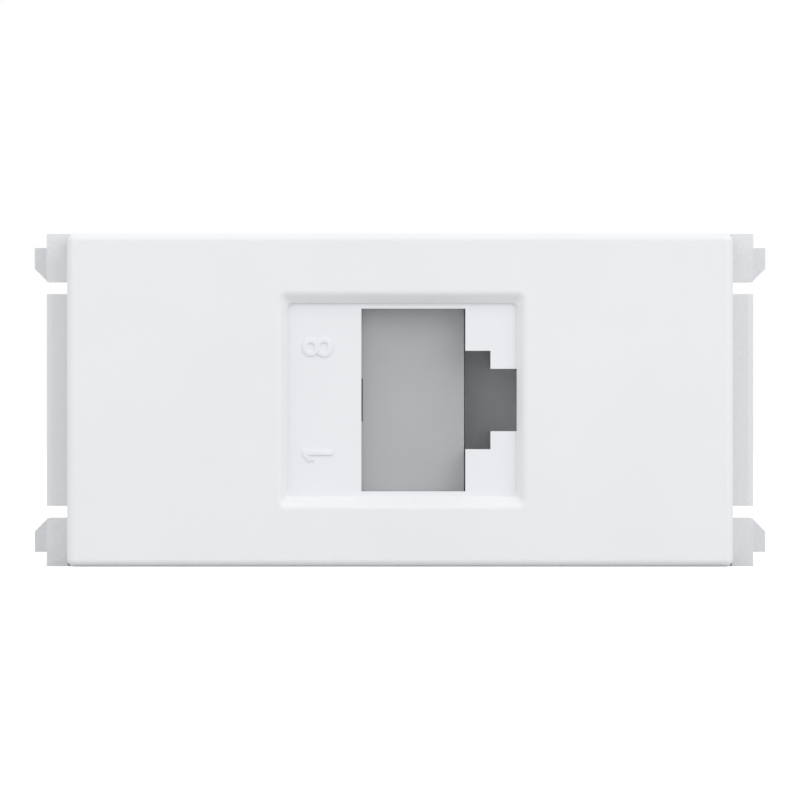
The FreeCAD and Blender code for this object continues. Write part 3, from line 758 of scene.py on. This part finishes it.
# %% Board material
# Epoxy laminate: refractive index 1.55. The lacquer is glossy and the sawn edge is dull.
laminate, tree = new_material("glass_laminate")
CLOTH = 0.2 * MM  # thickness of one layer of glass cloth
LACQUER_FULL = 0.015 * MM  # the lacquer is whole to this depth, and gone at the next
LACQUER_END = 0.035 * MM
half_board = (board_high[1] - board_low[1]) / 2
place = add_node(tree, "ShaderNodeTexCoord")
centred = add_node(
    tree,
    "ShaderNodeMapping",
    links=[("Vector", place.outputs["Object"])],
    sockets=[("Location", (0, -(board_high[1] + board_low[1]) / 2, 0))],
)
axes = add_node(tree, "ShaderNodeSeparateXYZ", links=[("Vector", centred.outputs["Vector"])])
from_middle = add_node(
    tree, "ShaderNodeMath", links=[(0, axes.outputs["Y"])], operation="ABSOLUTE"
)
lacquer = add_node(
    tree,
    "ShaderNodeMapRange",
    links=[("Value", from_middle.outputs["Value"])],
    sockets=[("From Min", half_board - LACQUER_END), ("From Max", half_board - LACQUER_FULL)],
)
layers = add_node(
    tree,
    "ShaderNodeTexWave",
    links=[("Vector", centred.outputs["Vector"])],
    sockets=[
        # At scale 1 the bands repeat every tau / 20, so this makes them repeat with the cloth.
        ("Scale", math.tau / 20 / CLOTH),
        ("Distortion", 1.5),
        ("Detail", 2.0),
        ("Detail Scale", 2.0),
    ],
    bands_direction="Y",
)
cloth = add_node(tree, "ShaderNodeValToRGB", links=[("Fac", layers.outputs["Fac"])])
cloth.color_ramp.elements[0].color = linear("#A59A62")
cloth.color_ramp.elements[1].color = linear("#CFC58F")
mottle = add_node(
    tree,
    "ShaderNodeTexNoise",
    links=[("Vector", place.outputs["Object"])],
    sockets=[("Scale", 1 / (1.2 * MM)), ("Detail", 3.0)],
)
green = add_node(tree, "ShaderNodeValToRGB", links=[("Fac", mottle.outputs["Fac"])])
green.color_ramp.elements[0].color = linear("#17512F")
green.color_ramp.elements[1].color = linear("#1F6A3E")
surface = add_node(
    tree,
    "ShaderNodeMix",
    data_type="RGBA",
    links=[
        ("Factor", lacquer.outputs["Result"]),
        ("A", cloth.outputs["Color"]),
        ("B", green.outputs["Color"]),
    ],
)
gloss = add_node(
    tree,
    "ShaderNodeMapRange",
    links=[("Value", lacquer.outputs["Result"])],
    sockets=[("To Min", 0.75), ("To Max", 0.28)],
)
bump = add_node(
    tree,
    "ShaderNodeBump",
    links=[("Height", layers.outputs["Fac"])],
    sockets=[("Strength", 0.3), ("Distance", 0.01 * MM)],
)
shader = add_node(
    tree,
    "ShaderNodeBsdfPrincipled",
    links=[
        ("Base Color", surface.outputs["Result"]),
        ("Roughness", gloss.outputs["Result"]),
        ("Normal", bump.outputs["Normal"]),
    ],
    sockets=[("IOR", 1.55)],
)
add_node(tree, "ShaderNodeOutputMaterial", links=[("Surface", shader.outputs["BSDF"])])
dress([board], laminate, "board_green")

# %% [markdown]
# ## Floor and sky
# The object lies on its long side on a white sheet in an evenly lit room. The sheet has to look
# white and still take the shadow, so it is a matt white that also gives off a little light, which
# only the camera and mirrors see. The sky gives the object soft light from all round, and looks
# plain white to the camera and in reflections.

# %% Rays that see the background
def background_rays(tree):
    rays = add_node(tree, "ShaderNodeLightPath")
    mirrored = add_node(
        tree,
        "ShaderNodeMath",
        links=[(0, rays.outputs["Is Camera Ray"]), (1, rays.outputs["Is Glossy Ray"])],
        operation="MAXIMUM",
    )
    return add_node(
        tree,
        "ShaderNodeMath",
        links=[(0, mirrored.outputs["Value"]), (1, rays.outputs["Is Transmission Ray"])],
        operation="MAXIMUM",
    )


# %% Floor
FLOOR_SIZE = 4.0
FLOOR_GAP = 0.02 * MM  # keeps the floor from lying in the same plane as the cover's side
SHEET_COLOUR = (0.6, 0.6, 0.6, 1.0)  # of its matt share and of its glow alike
bpy.ops.object.select_all(action="DESELECT")
bpy.ops.mesh.primitive_plane_add(size=FLOOR_SIZE, location=(0, 0, cad_low.z - FLOOR_GAP))
floor = bpy.context.object
floor.name = "floor"
floor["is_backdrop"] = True
white_sheet, tree = new_material("white_sheet")
seen = background_rays(tree)
matt = add_node(tree, "ShaderNodeBsdfDiffuse", sockets=[("Color", SHEET_COLOUR)])
glow = add_node(
    tree,
    "ShaderNodeEmission",
    links=[("Strength", seen.outputs["Value"])],
    sockets=[("Color", SHEET_COLOUR)],
)
both = add_node(
    tree,
    "ShaderNodeAddShader",
    links=[(0, matt.outputs["BSDF"]), (1, glow.outputs["Emission"])],
)
add_node(tree, "ShaderNodeOutputMaterial", links=[("Surface", both.outputs["Shader"])])
floor.data.materials.append(white_sheet)
print("floor at mm:", round(cad_low.z / MM, 2))

# %% Sky
SKY_LIGHT = 0.82
world = bpy.data.worlds.new("studio")
bpy.context.scene.world = world
world.use_nodes = True
tree = world.node_tree
tree.nodes.clear()
seen = background_rays(tree)
soft_light = add_node(
    tree, "ShaderNodeBackground", sockets=[("Color", (1, 1, 1, 1)), ("Strength", SKY_LIGHT)]
)
backdrop = add_node(
    tree, "ShaderNodeBackground", sockets=[("Color", (1, 1, 1, 1)), ("Strength", 1.0)]
)
sky = add_node(
    tree,
    "ShaderNodeMixShader",
    links=[
        ("Fac", seen.outputs["Value"]),
        (1, soft_light.outputs["Background"]),
        (2, backdrop.outputs["Background"]),
    ],
)
add_node(tree, "ShaderNodeOutputWorld", links=[("Surface", sky.outputs["Shader"])])
print("sky light:", SKY_LIGHT)

# %% [markdown]
# ## Lamps
# Even light alone would leave the bevels flat. A key lamp stands ahead, above and to the right,
# and a fill lamp of half its power on the left keeps that side from falling off. Both are set
# high, so what faces up is brighter than what faces down. A small strong lamp would burn a white
# patch into the upper faces where they mirror it at a low angle. So both are wide and faint, and
# the shadows in the opening get soft edges.

# %% Two soft lamps
LAMP_SIZE = 0.44
LAMP_SIDE = 0.27
LAMP_AHEAD = 0.30
LAMP_HEIGHT = 0.25
KEY_POWER = 0.64  # in watts, on an object 50 mm long


def soft_lamp(name, place, power):
    lamp = bpy.data.lights.new(name, "AREA")
    lamp.shape = "DISK"
    lamp.size = LAMP_SIZE
    lamp.energy = power
    holder = bpy.data.objects.new(name, lamp)
    bpy.context.scene.collection.objects.link(holder)
    holder.location = place
    holder.rotation_euler = (-Vector(place)).to_track_quat("-Z", "Y").to_euler()
    print(name, "lamp:", power, "W")


soft_lamp("key", (LAMP_SIDE, -LAMP_AHEAD, LAMP_HEIGHT), KEY_POWER)
soft_lamp("fill", (-LAMP_SIDE, -LAMP_AHEAD, LAMP_HEIGHT), KEY_POWER / 2)

# %% [markdown]
# ## Camera
# The camera looks straight at the face from far away through a long lens, so the sides of the
# opening hardly show and the outline keeps its true proportions. The distance follows from the
# lens and the width that has to fit the frame at the cover's face.

# %% Place the camera
FACE_SPAN = 54.05 * MM  # what the frame takes in at the cover's face
LENS = 600.0
camera_data = bpy.data.cameras.new("camera")
camera_data.lens = LENS
camera = bpy.data.objects.new("camera", camera_data)
bpy.context.scene.collection.objects.link(camera)
distance = FACE_SPAN * LENS / camera_data.sensor_width
camera.location = (0, cover_front - distance, 0)
camera.rotation_euler = (math.radians(90), 0, 0)
camera_data.clip_start = 0.01
camera_data.clip_end = 20
bpy.context.scene.camera = camera
bpy.context.scene.view_settings.view_transform = "Standard"
print("camera distance m:", round(distance, 3))

# %% [markdown]
# ## Last measurements
# The finished model must be as large as the frame and no larger, so its size is printed here, to
# set against the frame's size printed at the start.

# %% Write the sizes and finish
low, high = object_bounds()
print("visual size in mm:", [round(v / MM, 2) for v in high - low])
